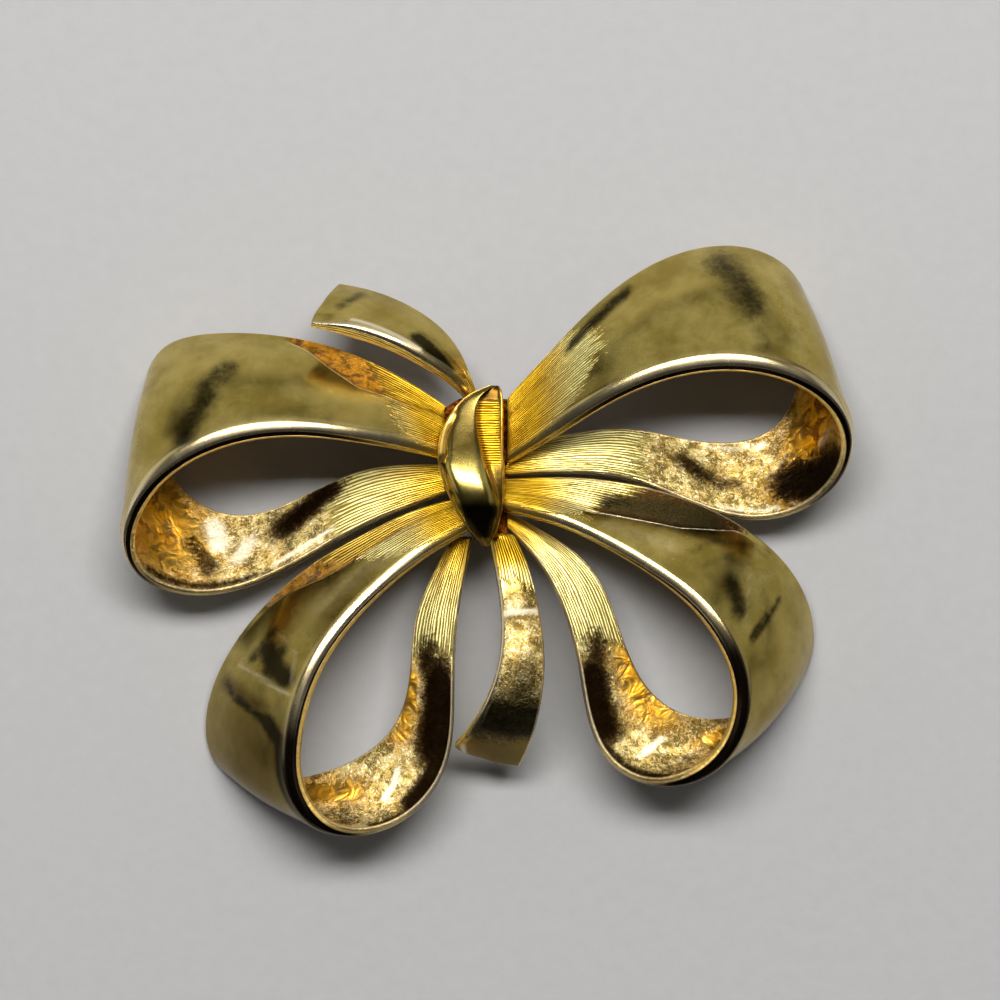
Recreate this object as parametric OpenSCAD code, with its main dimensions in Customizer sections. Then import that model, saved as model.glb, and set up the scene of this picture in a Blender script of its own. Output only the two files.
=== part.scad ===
// Bow brooch: four flared ribbon loops, two tails and a marquise knot on a hub, with a bar pin behind.
// It lies on its back: +X is to the right, +Y is up the picture, +Z is towards the viewer, and z = 0 is
// the table.

/* [Overall] */
// x of the knot's middle, from the middle of the outline
hub_x = -1.1; // [-5:0.1:5]
// y of the knot's middle, from the middle of the outline
hub_y = 7.05; // [0:0.1:15]
// clear gap kept between two neighbouring pieces
piece_gap = 0.08; // [0.05:0.01:0.3]
// stations between two rows of a table
steps = 4; // [2:1:8]

/* [Ribbon] */
// radius of the rounded front rim
rim_radius = 0.8; // [0.3:0.02:1.2]
// radius of the finer front rim on a loop's inner band and on the lower tail
fine_rim = 0.5; // [0.3:0.02:1.2]
// thickness of a ribbon behind its rim
ribbon_thickness = 1.15; // [0.5:0.05:2]
// thickness of a ribbon at its back edge
edge_thickness = 0.72; // [0.3:0.02:1.5]

/* [Upper left loop] */
// how far the loop reaches to the left of the knot's middle
ul_reach = 34; // [20:0.5:45]
// how high the loop spreads
ul_spread = 24; // [15:0.5:35]
// height of the front rim's crest
ul_height = 12; // [6:0.5:18]

/* [Upper right loop] */
// how far the loop reaches to the right of the knot's middle
ur_reach = 36; // [20:0.5:45]
// how high the loop rises above the knot's middle
ur_spread = 21; // [15:0.5:35]
// height of the front rim's crest
ur_height = 12; // [6:0.5:18]

/* [Lower left loop] */
// how far the loop reaches to the left of the knot's middle
ll_reach = 26; // [15:0.5:35]
// how far the loop drops below the knot's middle
ll_spread = 35; // [20:0.5:45]
// height of the front rim's crest
ll_height = 11; // [6:0.5:18]

/* [Lower right loop] */
// how far the loop reaches to the right of the knot's middle
lr_reach = 32.5; // [20:0.5:45]
// how far the loop drops below the knot's middle
lr_spread = 30; // [20:0.5:45]
// height of the front rim's crest
lr_height = 11; // [6:0.5:18]

/* [Tails] */
// how far the upper tail reaches to the left of the knot's middle
ut_reach = 15; // [8:0.5:25]
// how far the upper tail rises above the knot's middle
ut_spread = 17; // [10:0.5:25]
// height of the upper tail's crest
ut_height = 9.3; // [5:0.1:14]
// greatest distance of the lower tail to the right of the knot's middle
lt_reach = 6.5; // [4:0.1:12]
// how far the lower tail drops below the knot's middle
lt_spread = 28; // [15:0.5:40]
// height of the lower tail's crest
lt_height = 9.4; // [5:0.1:14]

/* [Knot] */
// half the knot's length
knot_half = 7.7; // [5:0.1:12]
// half the knot's width, a reference for its table
knot_width = 3.6; // [2:0.1:6]
// height of the knot's base above the table
knot_base = 7.75; // [5:0.05:10]
// height of the knot's dome above its base
knot_rise = 4.3; // [2:0.1:6]

/* [Hub] */
// distance of the ribbons' root planes to the left and right of the knot's middle
root_x = 3.1; // [2.6:0.05:4]
// distance of the root plane below the knot's middle
root_down = 7.13; // [6.5:0.05:8]
// distance of the root plane above the knot's middle
root_up = 6.54; // [6:0.05:7.5]
// height of the hub's underside
hub_bottom = 2.62; // [2.2:0.02:3]
// height of the hub's lower shelf, seen in the gap beside the knot
hub_shelf = 5.4; // [4:0.05:7]

/* [Bar pin] */
// length of the back bar
bar_length = 27; // [15:0.5:40]
// width of the back bar
bar_width = 2.6; // [1.5:0.1:4]
// thickness of the back bar
bar_thickness = 0.7; // [0.4:0.05:1.5]
// diameter of the pin stem
stem_diameter = 0.9; // [0.5:0.05:1.5]
// height of the stem's axis above the table
stem_height = 0.75; // [0.45:0.05:1.5]
// length of the blocks at the bar's two ends
block_length = 2.2; // [1:0.1:4]
// width of the blocks at the bar's two ends
block_width = 1.8; // [1:0.1:2.5]
// distance of the bar's middle above the knot's middle
bar_up = 2.9; // [1:0.1:4]
// turn of the bar about the vertical, in degrees
bar_turn = -7; // [-12:1:0]

/* [Hidden] */
gilt = [0.83, 0.64, 0.30];
steel = [0.72, 0.70, 0.64];
hub_top = knot_base - piece_gap;
seat_top = hub_top - rim_radius;
bar_top = hub_bottom - piece_gap;
block_foot = bar_thickness * .14;
edge_run = edge_thickness * .28;
edge_round = edge_thickness * .21;
edge_swell = edge_thickness * .07;
collar_foot = knot_width * .14;
rim_land = knot_width * .11;
hub_corner = root_x * .29;
upper_share = .7;

// Columns of a ribbon's table: front rim x, y, z; back edge x, y, z (shares of the ribbon's reach, spread
// and height); bulge of the face and height of its fold (shares of the ribbon's width there).

// Upper left loop, from the knot out along the upper band, round the far turn and back below
ul_rows = [
  [.091, .029, .58,   .091, .244, .48,   .02, .00],
  [.21,  .073, .71,   .212, .358, .48,   .02,-.07],
  [.35,  .11,  .89,   .374, .467, .43,   .02,-.09],
  [.505, .138, 1.00,  .547, .525, .24,   .05,-.03],
  [.66,  .115, 1.01,  .715, .538, .11,   .08, .00],
  [.803, .042, .97,   .88,  .517, .03,   .07, .00],
  [.926,-.088, .87,   .947, .388, .005,  .05, .00],
  [1.00,-.288, .69,   .938, .15,  .005,  .03, .00],
  [.962,-.463, .525,  .891,-.038, .015,  .03, .00],
  [.797,-.538, .415,  .77, -.196, .05,   .03, .00],
  [.63, -.483, .368,  .615,-.213, .10,   .03, .00],
  [.474,-.367, .36,   .45, -.088, .17,   .02, .00],
  [.314,-.225, .39,   .30,  .008, .265,  .02, .00],
  [.091,-.112, .433,  .091, .006, .367,  .02, .00]];

// Upper right loop, in the same order
ur_rows = [
  [.086, .014, .58,   .086, .314, .48,   .02, .00],
  [.189, .119, .69,   .186, .495, .42,   .03,-.02],
  [.314, .267, .86,   .306, .719, .32,   .04,-.03],
  [.444, .381, .97,   .436, .90,  .215,  .06,-.02],
  [.592, .448, 1.01,  .575, 1.005,.12,   .08, .00],
  [.739, .448, .985,  .728, 1.03, .035,  .07, .00],
  [.878, .381, .89,   .864, .92,  .005,  .05, .00],
  [.986, .233, .755,  .906, .662, .00,   .03, .00],
  [1.006,.01,  .58,   .878, .381, .015,  .03, .00],
  [.911,-.19,  .42,   .828, .176, .06,   .03, .00],
  [.756,-.271, .335,  .703, .09,  .09,   .03, .00],
  [.592,-.195, .355,  .55,  .124, .155,  .02, .00],
  [.414,-.043, .395,  .397, .19,  .245,  .02, .00],
  [.239,-.026, .42,   .247, .143, .32,   .02, .00],
  [.086,-.043, .433,  .086, .09,  .367,  .02, .00]];

// Lower left loop, from the knot down its outer band, round the bottom and up its right band
ll_rows = [
  [.029,  .179,  .62,  .094, .094,  .53, .02,    0],
  [.177,  .237,  .68,  .246, .123,  .51, .02, -.06],
  [.323,   .32,  .78,  .438, .197,   .5, .02, -.09],
  [.454,  .414, .895,  .635,  .28,  .45, .02, -.08],
  [.562,  .523,  .97,  .812, .403,  .32, .05, -.02],
  [.627,  .634,  .99,   .95, .546,  .15, .07,    0],
  [.662,  .757,  .95, 1.019, .694, .015, .06,    0],
  [.662,   .88, .875,  .996, .826,    0, .05,    0],
  [.573,  .991,  .78,  .854, .886,  .05, .04,    0],
  [.423, 1.017,  .69,  .654, .871,   .2, .04,    0],
  [.254,  .977,  .61,  .465, .823,  .36, .03,    0],
  [.123,  .871,  .58,  .323, .749,  .43, .03,    0],
  [.079,  .737,  .56,  .254, .646,  .46, .02,    0],
  [.083,   .58, .556,  .239, .523,  .47, .02,    0],
  [.073,  .414,  .54,  .227, .383,  .46, .02,    0],
  [.017,  .204,  .49,  .092, .204, .418, .02,    0]];

// Lower right loop, from the knot out along its upper band, round the far turn and back up its left band
lr_rows = [
  [.095,  .145,  .61,  .095, .043,  .52, .02,    0],
  [.246,  .183, .665,  .258, .033, .516, .02, -.09],
  [.388,  .257,  .78,  .431,  .05,  .55, .02, -.12],
  [.532,   .35, .897,  .603, .092, .557, .02, -.12],
  [.655,  .453, .973,  .766, .173, .488, .04, -.05],
  [.739,  .587, .994,  .905, .287,  .31, .07,    0],
  [.782,   .73, .934,  .994, .433,  .11, .07,    0],
  [.748,    .9, .836, 1.015, .597,    0, .06,    0],
  [.634,  1.01, .743,  .942,  .75,  .04, .05,    0],
  [.489, 1.027, .668,  .785,  .82,  .25, .04,    0],
  [.366,  .937, .625,  .628, .817,  .41, .03,    0],
  [ .32,  .777, .588,  .511, .737,  .45, .03,    0],
  [.305,  .627, .573,  .443, .593,  .47, .02,    0],
  [.262,  .457, .556,  .397,  .42,  .47, .02,    0],
  [.194,   .31,  .52,  .323,  .28,  .45, .02,    0],
  [.095,  .203,  .45,  .095,  .15,   .4, .02,    0]];

// Upper tail, from the knot to its free end
ut_rows = [
  [.07,  .385, .67,  -.013, .385, .62,   .02, .00],
  [.147, .47,  .75,   .05,  .535, .63,   .03, .00],
  [.297, .556, .863,  .117, .665, .584,  .04, .00],
  [.48,  .653, .954,  .24,  .794, .516,  .04, .00],
  [.68,  .724,1.00,   .42,  .90,  .45,   .04, .00],
  [.867, .768, .975,  .647, .988, .387,  .04, .00],
  [1.047,.791, .903,  .873,1.026, .323,  .03, .00]];

// Lower tail, from the knot to its free end
lt_rows = [
  [   .2, .255,  .7,    .6,  .255, .68, .03, 0],
  [  .27, .343, .68,  .762,  .329, .65, .04, 0],
  [ .354, .461, .78,    .9,  .454, .75, .04, 0],
  [ .385, .579, .94,  .992,  .568, .91, .04, 0],
  [  .33, .693,   1, 1.023,  .689, .97, .04, 0],
  [ .146, .807, .96,  .962,  .814, .93, .04, 0],
  [-.146, .918, .72,   .83,  .939, .66, .04, 0],
  [ -.31, .957, .46,   .66, 1.025, .37, .03, 0]];

// Columns of the seats: front rim x, y; back edge x, y (shares of root_x and of root_down); heights of front
// rim and back edge (shares of seat_top). The first row is where a ribbon starts, the second where it ends.
ul_seats = [[1, .10, 1, .82, 1.00, .84], [1, -.38, 1, .02, .76, .64]];
ur_seats = [[1, .04, 1, .925, 1.00, .84], [1, -.13, 1, .265, .76, .64]];
ll_seats = [[.24, .877, .79, .463, 1.00, .85], [.145, 1, .775, 1, .77, .67]];
lr_seats = [[1, .61, 1, .18, .975, .83], [1, .855, 1, .63, .72, .64]];
ut_seats = [[.34, root_up / root_down, -.065, root_up / root_down, .905, .84]];
lt_seats = [[.42, 1, 1.26, 1, .93, .905]];

// Columns of the knot's table: place along its length, left side, right side, crest, fold line (shares of its
// half length and half width); heights of crest, fold line, pocket and right rim (shares of its rise).
knot_rows = [
  [   1,   .34,  .6,  .46,  .54, .12,  .1, .09, .09],
  [ .95,   .06, .68,  .24,  .34,  .2, .18, .14, .17],
  [ .88,  -.24, .72,    0,  .15, .27, .24, .16, .21],
  [ .76,  -.52, .73,  -.2,  .01, .34, .31, .19, .25],
  [  .6,  -.76, .73, -.34, -.02, .44,  .4, .22, .29],
  [ .42,  -.95, .72, -.42,  .02, .56,  .5, .26, .32],
  [  .2, -1.04, .74, -.42,  .12, .72, .62, .31, .35],
  [   0, -1.02, .77, -.34,  .24, .87, .68, .36, .36],
  [ -.2,  -.88, .79, -.16,  .43, .98, .62, .38,  .3],
  [ -.4,  -.72, .77, -.01,   .6,   1, .54, .34, .24],
  [-.62,  -.47, .68,   .1,  .57, .86, .42, .27,  .2],
  [-.82,  -.17, .55,  .18,  .45, .56, .32, .22, .18],
  [-.94,   .08, .41,  .24,  .35, .34, .24, .18, .16],
  [  -1,   .18, .34,  .26,   .3,  .2, .18, .16, .16]];

function unit(v) = v / norm(v);

// Smooth curve through a table: row i to i + 1, at share t
function before(rows, i) = i > 0 ? rows[i - 1] : 2 * rows[0] - rows[1];
function after(rows, i) = i + 2 < len(rows) ? rows[i + 2] : 2 * rows[i + 1] - rows[i];
function row_at(rows, i, t) =
  (pow(1 - t, 3) * before(rows, i) + (3 * t * t * t - 6 * t * t + 4) * rows[i]
   + (3 * t + 3 * t * t - 3 * t * t * t + 1) * rows[i + 1] + t * t * t * after(rows, i)) / 6;
function stations(rows, n) = concat(
  [for (i = [0:len(rows) - 2], j = [0:n - 1]) row_at(rows, i, j / n)], [rows[len(rows) - 1]]);

// Front rim and back edge of a row, in millimetres, from its shares; a seat's row likewise
function sized(r, size) = [r[0] * size[0], r[1] * size[1], r[2] * size[2],
                           r[3] * size[0], r[4] * size[1], r[5] * size[2], r[6], r[7]];
function seated(q, sign) = [q[0] * root_x * sign[0], q[1] * root_down * sign[1], q[4] * seat_top,
                            q[2] * root_x * sign[0], q[3] * root_down * sign[1], q[5] * seat_top, 0, 0];
// Rows drawn to the seats: the shift at a root fades over the next rows
function fade(k) = k < 4 ? pow(1 - k / 4, 2) : 0;
function shift(rows, k, size, q, sign) = let (d = seated(q, sign) - sized(rows[k], size))
  [d[0], d[1], d[2], d[3], d[4], d[5], 0, 0];
function placed(rows, size, seats) =
  let (n = len(rows) - 1, sign = [sign(size[0]), sign(size[1])],
       a = shift(rows, 0, size, seats[0], sign),
       b = len(seats) > 1 ? shift(rows, n, size, seats[1], sign) : 0 * a)
  [for (i = [0:n]) sized(rows[i], size) + fade(i) * a + fade(n - i) * b];
function front(r) = [r[0], r[1], r[2]];
function back(r) = [r[3], r[4], r[5]];
function middle(r) = (front(r) + back(r)) / 2;

// Direction of travel: along the ribbon, and square to the upright root plane at a seated end
function upright(w, way) = let (n = unit([w[1], -w[0], 0])) n * way > 0 ? n : -n;
function travel(s, i, closed) =
  let (a = middle(s[max(i - 1, 0)]), b = middle(s[min(i + 1, len(s) - 1)]), w = back(s[i]) - front(s[i]))
  (i == 0 || (i == len(s) - 1 && closed)) ? upright(w, b - a) : unit(b - a);

// Radius of the front rim at a share of the ribbon's length: rims holds it before and after the far turn
function rim_at(rims, share) = rims[0] + (rims[1] - rims[0]) * min(1, max(0, share * 4 - 2));

// Outline of a cut across the ribbon: distance from the front rim and height over the middle face
function cut(w, bulge, crease, r) =
  let (h = ribbon_thickness / 2, e = edge_thickness / 2)
  [[r, -r], [r * .3, -r * .72], [0, 0], [r * .3, r * .72], [r, r],
   [w * .2 + r, h + bulge * w * .7], [w * .45 + r * .5, h + bulge * w],
   [w * .7, h + (bulge * .8 + crease) * w],
   [w - edge_run, e + edge_swell], [w, e - edge_round], [w, edge_round - e], [w - edge_run, -e],
   [w * .7, -h + (bulge * .8 + crease) * w], [w * .45 + r * .5, -h + bulge * w],
   [w * .2 + r, -h + bulge * w * .7]];

// Points of one station; side is 1 or -1, whichever sends the height outwards
function station_points(s, i, side, closed, r) =
  let (f = front(s[i]), b = back(s[i]), w = unit(b - f), n = side * unit(cross(w, travel(s, i, closed))))
  [for (p = cut(norm(b - f), s[i][6], s[i][7], r))
    let (q = f + p[0] * w + p[1] * n) [q[0], q[1], max(q[2], 0)]];

// Closed skin over stations that hold the same number of points
module skin(rings, flip) {
  m = len(rings[0]);
  n = len(rings);
  sides = [for (i = [0:n - 2], j = [0:m - 1]) let (a = i * m + j, b = i * m + (j + 1) % m)
    each [[a, b, b + m], [a, b + m, a + m]]];
  faces = concat(sides, [[for (j = [m - 1:-1:0]) j]], [[for (j = [0:m - 1]) (n - 1) * m + j]]);
  polyhedron(points = [for (r = rings) each r],
             faces = flip ? [for (f = faces) [for (k = [len(f) - 1:-1:0]) f[k]]] : faces, convexity = 6);
}

module ribbon(rows, size, seats, side, rims) {
  s = stations(placed(rows, size, seats), steps);
  closed = len(seats) > 1;
  n = len(s) - 1;
  translate([hub_x, hub_y, 0])
    skin([for (i = [0:n]) station_points(s, i, side, closed, rim_at(rims, i / n))], side > 0);
}

loop_rims = [rim_radius, fine_rim];
module upper_left_loop() color(gilt)
  ribbon(ul_rows, [-ul_reach, ul_spread, ul_height], ul_seats, 1, loop_rims);
module upper_right_loop() color(gilt)
  ribbon(ur_rows, [ur_reach, ur_spread, ur_height], ur_seats, -1, loop_rims);
module lower_left_loop() color(gilt)
  ribbon(ll_rows, [-ll_reach, -ll_spread, ll_height], ll_seats, 1, loop_rims);
module lower_right_loop() color(gilt)
  ribbon(lr_rows, [lr_reach, -lr_spread, lr_height], lr_seats, -1, loop_rims);
module upper_tail() color(gilt)
  ribbon(ut_rows, [-ut_reach, ut_spread, ut_height], ut_seats, 1, [rim_radius, rim_radius]);
module lower_tail() color(gilt)
  ribbon(lt_rows, [lt_reach, -lt_spread, lt_height], lt_seats, -1, [fine_rim, fine_rim]);

// Cut across the knot: collar foot, dome, fold pocket and thin right rim
function knot_cut(r) =
  let (y = r[0] * knot_half, a = r[1] * knot_width, b = r[2] * knot_width, c = r[3] * knot_width,
       d = r[4] * knot_width, h = knot_rise, foot = min(collar_foot, (b - a) * .12),
       rim = min(.14, .35 * r[5]))
  [for (p = [[a, 0], [a, rim * h], [a + foot, rim * 1.2 * h],
             [a + foot + (c - a) * .12, .6 * r[5] * h], [a + foot + (c - a) * .38, .88 * r[5] * h],
             [c, r[5] * h], [(c + d) / 2 + (d - c) * .1, (r[5] * .7 + r[6] * .3) * h],
             [d, r[6] * h], [d + (b - d) * .35, r[7] * h], [d + (b - d) * .6, r[7] * h],
             [b - min(rim_land, (b - d) * .3), r[8] * h], [b, r[8] * h * .8], [b, 0]])
    [p[0], y, knot_base + p[1]]];

module knot() color(gilt) translate([hub_x, hub_y, 0])
  skin([for (r = stations(knot_rows, 3)) knot_cut(r)], false);

// Hub under the knot, with an upright seat before each ribbon's root
hub_left = piece_gap - root_x;
hub_right = root_x - piece_gap;
hub_down = piece_gap - root_down;
hub_up = root_up - piece_gap;
slant_from = [-ll_seats[0][0] * root_x, -ll_seats[0][1] * root_down];
slant_to = [-ll_seats[0][2] * root_x, -ll_seats[0][3] * root_down];
slant = unit(slant_to - slant_from);
slant_start = slant_from + piece_gap * [slant[1], -slant[0]];
function along_slant(t) = slant_start + t * slant;
module hub_block(right, top) translate([hub_x, hub_y, hub_bottom])
  linear_extrude(top - hub_bottom)
    polygon([along_slant((hub_left - slant_start[0]) / slant[0]),
             along_slant((hub_down - slant_start[1]) / slant[1]),
             [right, hub_down], [right, hub_up], [-root_x / 2, hub_up], [hub_left, hub_up - hub_corner]]);
module hub() color(gilt) union() {
  hub_block(hub_right * upper_share, hub_top);
  hub_block(hub_right, hub_shelf);
}

// Bar pin behind: back bar, hinge block, catch block and stem in one plain piece
module bar_pin() color(steel) translate([hub_x, hub_y + bar_up, 0]) rotate([0, 0, bar_turn]) union() {
  translate([-bar_length / 2, -bar_width / 2, bar_top - bar_thickness])
    cube([bar_length, bar_width, bar_thickness]);
  for (x = [-bar_length / 2, bar_length / 2 - block_length])
    translate([x, -block_width / 2, block_foot])
      cube([block_length, block_width, bar_top - bar_thickness / 2 - block_foot]);
  translate([-bar_length / 2 + block_length / 2, 0, stem_height]) rotate([0, 90, 0])
    cylinder(h = bar_length - block_length, d = stem_diameter, $fn = 48);
}

upper_left_loop();
upper_right_loop();
lower_left_loop();
lower_right_loop();
upper_tail();
lower_tail();
knot();
hub();
bar_pin();
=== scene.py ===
"""Looks of the gilt bow brooch: four ribbon loops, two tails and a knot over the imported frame.

The ribbons and the knot follow the same tables as the part's source: x is to the right, y up the
picture and z towards the viewer, and the brooch lies on its back on a pale floor at z = 0.
"""
import math

import bmesh
import bpy
from bpy.props import FloatProperty, FloatVectorProperty, IntProperty, PointerProperty
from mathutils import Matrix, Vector


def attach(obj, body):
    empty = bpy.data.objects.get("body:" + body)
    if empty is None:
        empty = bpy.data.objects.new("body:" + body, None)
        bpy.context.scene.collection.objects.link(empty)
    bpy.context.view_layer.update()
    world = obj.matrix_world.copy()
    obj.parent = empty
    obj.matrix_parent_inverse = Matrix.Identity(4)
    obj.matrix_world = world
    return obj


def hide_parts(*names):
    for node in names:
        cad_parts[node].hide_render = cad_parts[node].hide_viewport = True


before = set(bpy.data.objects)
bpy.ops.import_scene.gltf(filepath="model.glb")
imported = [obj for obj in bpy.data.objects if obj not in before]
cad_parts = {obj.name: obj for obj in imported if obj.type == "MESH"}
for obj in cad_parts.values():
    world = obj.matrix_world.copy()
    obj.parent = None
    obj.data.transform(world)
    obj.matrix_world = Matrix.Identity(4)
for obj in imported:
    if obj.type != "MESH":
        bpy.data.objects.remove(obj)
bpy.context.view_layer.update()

bl_info = {
    "name": "Bow brooch",
    "version": (1, 0, 0),
    "blender": (4, 5, 0),
    "location": "3D View > Sidebar > Brooch",
    "description": "Builds a gilt bow brooch and the plain stage it lies on",
    "category": "Object",
}

MM = 0.001
SAME_PLACE = 0.001 * MM


def length(name, description, millimetres):
    """A length setting, given in millimetres and kept in metres."""
    return FloatProperty(
        name=name, description=description, default=millimetres * MM, unit="LENGTH", precision=5)


def reach(name, description, x, y, z):
    """How far a ribbon reaches along x and y from the knot, and the height of its front rim's crest."""
    return FloatVectorProperty(
        name=name, description=description, default=(x * MM, y * MM, z * MM), size=3,
        subtype="XYZ", unit="LENGTH")


def paint(name, description, red, green, blue):
    """A colour setting, in linear light."""
    return FloatVectorProperty(
        name=name, description=description, default=(red, green, blue, 1), size=4, min=0, max=1,
        subtype="COLOR")


class BroochColours(bpy.types.PropertyGroup):
    """Colours of the gilding, of its painted highlights, reflections and shade, and of the stage."""

    olive_deep: paint("Deep polish", "Darker cloud of the polished faces", 0.385, 0.285, 0.055)
    olive_pale: paint("Pale polish", "Lighter cloud of the polished faces", 0.61, 0.48, 0.135)
    groove: paint("Groove", "Between two engraved lines", 0.27, 0.175, 0.022)
    root_groove: paint("Root groove", "Between two engraved lines at a ribbon's root", 0.18, 0.045, 0.0008)
    crest: paint("Line", "Crest of an engraved line", 1.0, 0.94, 0.42)
    root_crest: paint("Root line", "Crest of an engraved line at a ribbon's root", 1.0, 0.66, 0.035)
    fleck_dark: paint("Dark fleck", "Hollows of the sand-cast texture", 0.17, 0.11, 0.02)
    fleck_gold: paint("Gold fleck", "Body of the sand-cast texture", 0.74, 0.58, 0.20)
    fleck_pale: paint("Pale fleck", "Glints of the sand-cast texture", 1.0, 0.93, 0.60)
    # Painted reflection: amber laid in the pockets, on the facets and on the warm strokes, mostly inside
    # the loops, where the ribbons reflect each other.
    amber: paint("Amber", "Deep gilding where the ribbons reflect each other", 1.0, 0.43, 0.006)
    amber_deep: paint("Deep amber", "Hollows of the amber gilding", 0.30, 0.095, 0.003)
    umber: paint("Umber", "Deep brown of facets and of deep shade", 0.045, 0.018, 0.003)
    pitch: paint("Pitch", "Black shade inside the loops", 0.004, 0.0015, 0.0004)
    # Painted dark reflection: near black laid on the dark strokes of the outer faces and on the knot's
    # lower dome.
    smudge: paint("Smudge", "Worn dark patches", 0.022, 0.017, 0.006)
    # Painted highlight: a pale colour laid on the light strokes, the crest line and the lip in place of
    # reflections of the lamps.
    shine: paint("Shine", "Pale burnished strokes", 1.0, 0.90, 0.66)
    # Burnished rolls, partly a painted highlight: their paler colour makes the lamps' reflections on them
    # read white-pink.
    rim: paint("Rim", "Burnished rolls of the rims", 0.84, 0.70, 0.44)
    # Painted shade: near black laid on the rims' flat edges and on the dark stretch of their rolls, where
    # they reflect the dark room.
    shadow: paint("Edge", "Tarnished flat edge between a rim's two rolls", 0.030, 0.016, 0.009)
    # Painted shade: the hub's two colours are dark and reddish because it lies in the shaded gap beside the
    # knot.
    hollow_dark: paint("Hub dark", "Deep hollows of the hub", 0.030, 0.006, 0.001)
    hollow_gold: paint("Hub gold", "Higher grains of the hub", 0.20, 0.055, 0.006)
    pin_worn: paint("Worn pin", "Worn gilding of the bar and pin", 0.62, 0.50, 0.24)
    pin_pale: paint("Pale pin", "Fresh gilding of the bar and pin", 0.83, 0.73, 0.44)
    floor_deep: paint("Floor shade", "Darker tooth of the floor", 0.40, 0.40, 0.405)
    floor_pale: paint("Floor", "Lighter tooth of the floor", 0.44, 0.44, 0.445)


class BroochSettings(bpy.types.PropertyGroup):
    """Sizes of the brooch, as in the part's source, and of its surface detail."""

    hub_x: length("Knot x", "Middle of the knot, from the middle of the outline", -1.1)
    hub_y: length("Knot y", "Middle of the knot, from the middle of the outline", 7.05)
    upper_left: reach("Upper left", "Reach of the upper left loop", -34, 24, 12)
    upper_right: reach("Upper right", "Reach of the upper right loop", 36, 21, 12)
    lower_left: reach("Lower left", "Reach of the lower left loop", -26, -35, 11)
    lower_right: reach("Lower right", "Reach of the lower right loop", 32.5, -30, 11)
    upper_tail: reach("Upper tail", "Reach of the upper tail", -15, 17, 9.3)
    lower_tail: reach("Lower tail", "Reach of the lower tail", 6.5, -28, 9.4)
    root_x: length("Root x", "Distance of the root planes to the left and right of the knot's middle", 3.1)
    root_down: length("Root down", "Distance of the root plane below the knot's middle", 7.13)
    seat_top: length("Seat top", "Height of the highest front rim at its root", 6.87)
    rim_radius: length("Rim radius", "Half the thickness of a ribbon at its front rim", 0.8)
    fine_rim: length(
        "Fine rim", "Half the thickness of the rim on a loop's inner band and on the lower tail", 0.5)
    roll_round: length("Roll", "Radius of the broad roll from the polished face to the rim", 1.35)
    corner_round: length("Corner", "Radius where the roll turns down to the rim's flat edge", 0.34)
    inner_round: length("Inner round", "Radius of the rim's inner corner", 0.36)
    bead_run: length("Bead run", "Distance over which the rim thins to the ribbon", 2.1)
    crest_width: length("Crest width", "Width of the bright line where the polished face ends", 0.16)
    ribbon_thickness: length("Ribbon thickness", "Thickness of a ribbon behind its rim", 1.15)
    edge_thickness: length("Edge thickness", "Thickness of a ribbon at its back edge", 0.72)
    facet_step: length("Facet step", "Drop from the polished face to the textured facet behind it", 0.2)
    knot_half: length("Knot half", "Half the knot's length", 7.7)
    knot_width: length("Knot width", "Reference for the knot's sides", 3.6)
    knot_base: length("Knot base", "Height of the knot's base", 7.75)
    knot_rise: length("Knot rise", "Height of the dome above its base", 4.3)
    collar_foot: length("Collar foot", "Width of the ledge along the knot's left side", 0.504)
    rim_land: length("Rim land", "Width of the rim along the knot's right side", 0.396)
    back_bevel: length("Back bevel", "Rounding of the hub's and the bar pin's edges", 0.09)
    steps: IntProperty(
        name="Steps", description="Sections between two rows of a table", default=10, min=2, max=16)


# Tables of the ribbons. Columns: front rim x, y, z; back edge x, y, z (shares of the ribbon's reach);
# bulge of the face and height of the crease, if there is one (shares of the ribbon's width there).
UPPER_LEFT = (
    (0.091, 0.029, 0.58, 0.091, 0.244, 0.48, 0.02),
    (0.21, 0.073, 0.71, 0.212, 0.358, 0.48, 0.02, -0.07),
    (0.35, 0.11, 0.89, 0.374, 0.467, 0.43, 0.02, -0.09),
    (0.505, 0.138, 1.0, 0.547, 0.525, 0.24, 0.05, -0.03),
    (0.66, 0.115, 1.01, 0.715, 0.538, 0.11, 0.08),
    (0.803, 0.042, 0.97, 0.88, 0.517, 0.03, 0.07),
    (0.926, -0.088, 0.87, 0.947, 0.388, 0.005, 0.05),
    (1.0, -0.288, 0.69, 0.938, 0.15, 0.005, 0.03),
    (0.962, -0.463, 0.525, 0.891, -0.038, 0.015, 0.03),
    (0.797, -0.538, 0.415, 0.77, -0.196, 0.05, 0.03),
    (0.63, -0.483, 0.368, 0.615, -0.213, 0.1, 0.03),
    (0.474, -0.367, 0.36, 0.45, -0.088, 0.17, 0.02),
    (0.314, -0.225, 0.39, 0.3, 0.008, 0.265, 0.02),
    (0.091, -0.112, 0.433, 0.091, 0.006, 0.367, 0.02),
)
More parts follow.
